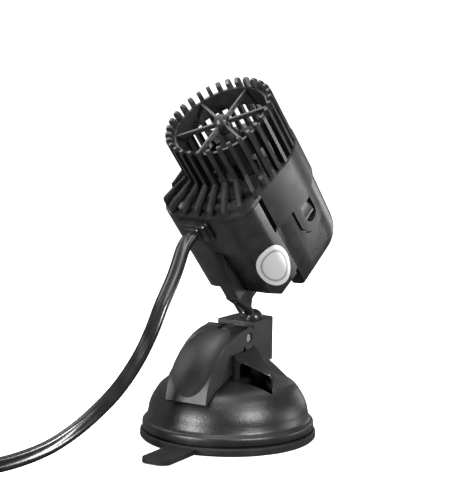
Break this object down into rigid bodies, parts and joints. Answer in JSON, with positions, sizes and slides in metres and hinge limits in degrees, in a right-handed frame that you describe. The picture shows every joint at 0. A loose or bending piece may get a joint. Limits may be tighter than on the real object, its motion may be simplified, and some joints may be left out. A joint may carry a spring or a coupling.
{
  "type": "wave maker pump",
  "caption": "Submersible wave maker pump with a finned outlet cage, on a ball joint above a lever-locked suction base, with a flat mains cord and plug.",
  "frame": {"origin": "centre of the suction lip, in the plane that meets the glass", "axes": "+Z away from the glass, X along the lever pin, -Y the way the lever points"},
  "size_m": [0.086, 0.2714, 0.1378],
  "materials": {
    "rubber_black": "matte",
    "dome_plastic": "satin, finely textured",
    "post_plastic": "satin",
    "pin_steel": "polished",
    "lever_plastic": "satin",
    "liner_plastic": "matte",
    "arm_plastic": "satin",
    "housing_plastic": "satin",
    "potting_resin": "matte",
    "core_steel": "laminated",
    "bobbin_plastic": "matte",
    "winding_copper": "enamelled wire",
    "gland_rubber": "matte",
    "cage_plastic": "satin",
    "shaft_ceramic": "ground",
    "bush_rubber": "matte",
    "magnet_ferrite": "matte",
    "impeller_plastic": "satin",
    "cord_jacket": "satin",
    "tie_plastic": "matte",
    "plug_plastic": "satin",
    "pin_nickel": "polished"
  },
  "bodies": {
    "base": {"suction_cup": "rubber_black", "base_dome": "dome_plastic"},
    "post": {"lift_post": "post_plastic", "lever_pin": "pin_steel"},
    "lever": {"cam_lever": "lever_plastic"},
    "swivel": {"ball_liner": "liner_plastic", "cord_free": "cord_jacket", "cord_coil": "cord_jacket", "cord_tail": "cord_jacket", "cord_tie": "tie_plastic", "plug_body": "plug_plastic", "plug_pin_a": "pin_nickel", "plug_pin_b": "pin_nickel"},
    "head": {"ball_arm": "arm_plastic", "motor_housing": "housing_plastic", "potting_plate": "potting_resin", "stator_core": "core_steel", "coil_bobbin": "bobbin_plastic", "coil_winding": "winding_copper", "cable_gland": "gland_rubber", "guard_cage": "cage_plastic", "rotor_shaft": "shaft_ceramic", "front_bush": "bush_rubber", "rear_bush": "bush_rubber"},
    "rotor": {"magnet_rotor": "magnet_ferrite", "impeller": "impeller_plastic"}
  },
  "joints": [
    {"name": "post_slide", "type": "slide", "parent": "base", "child": "post", "axis": [0, 0, 1], "range_m": [-0.0012, 0], "deforming": ["suction_cup"]},
    {"name": "lever_turn", "type": "hinge", "parent": "post", "child": "lever", "pos_m": [0, 0, 0.039], "axis": [-1, 0, 0], "range_deg": [0, 65]},
    {"name": "head_swivel", "type": "hinge", "parent": "post", "child": "swivel", "pos_m": [0.0014, 0.0155, 0.0435], "axis": [0, 0, 1], "range_deg": [-75, 75]},
    {"name": "head_tilt", "type": "hinge", "parent": "swivel", "child": "head", "pos_m": [0.0014, 0.0155, 0.0435], "axis": [0.9912, -0.1323, 0], "range_deg": [-50, 2], "deforming": ["cord_free"]},
    {"name": "rotor_spin", "type": "hinge", "parent": "head", "child": "rotor", "pos_m": [0.00038, 0.00787, 0.10557], "axis": [-0.085, -0.6371, 0.766], "continuous": true}
  ],
  "couplings": [
    {"joint": "lever_turn", "follows": "post_slide", "rad_per_m": -945}
  ]
}
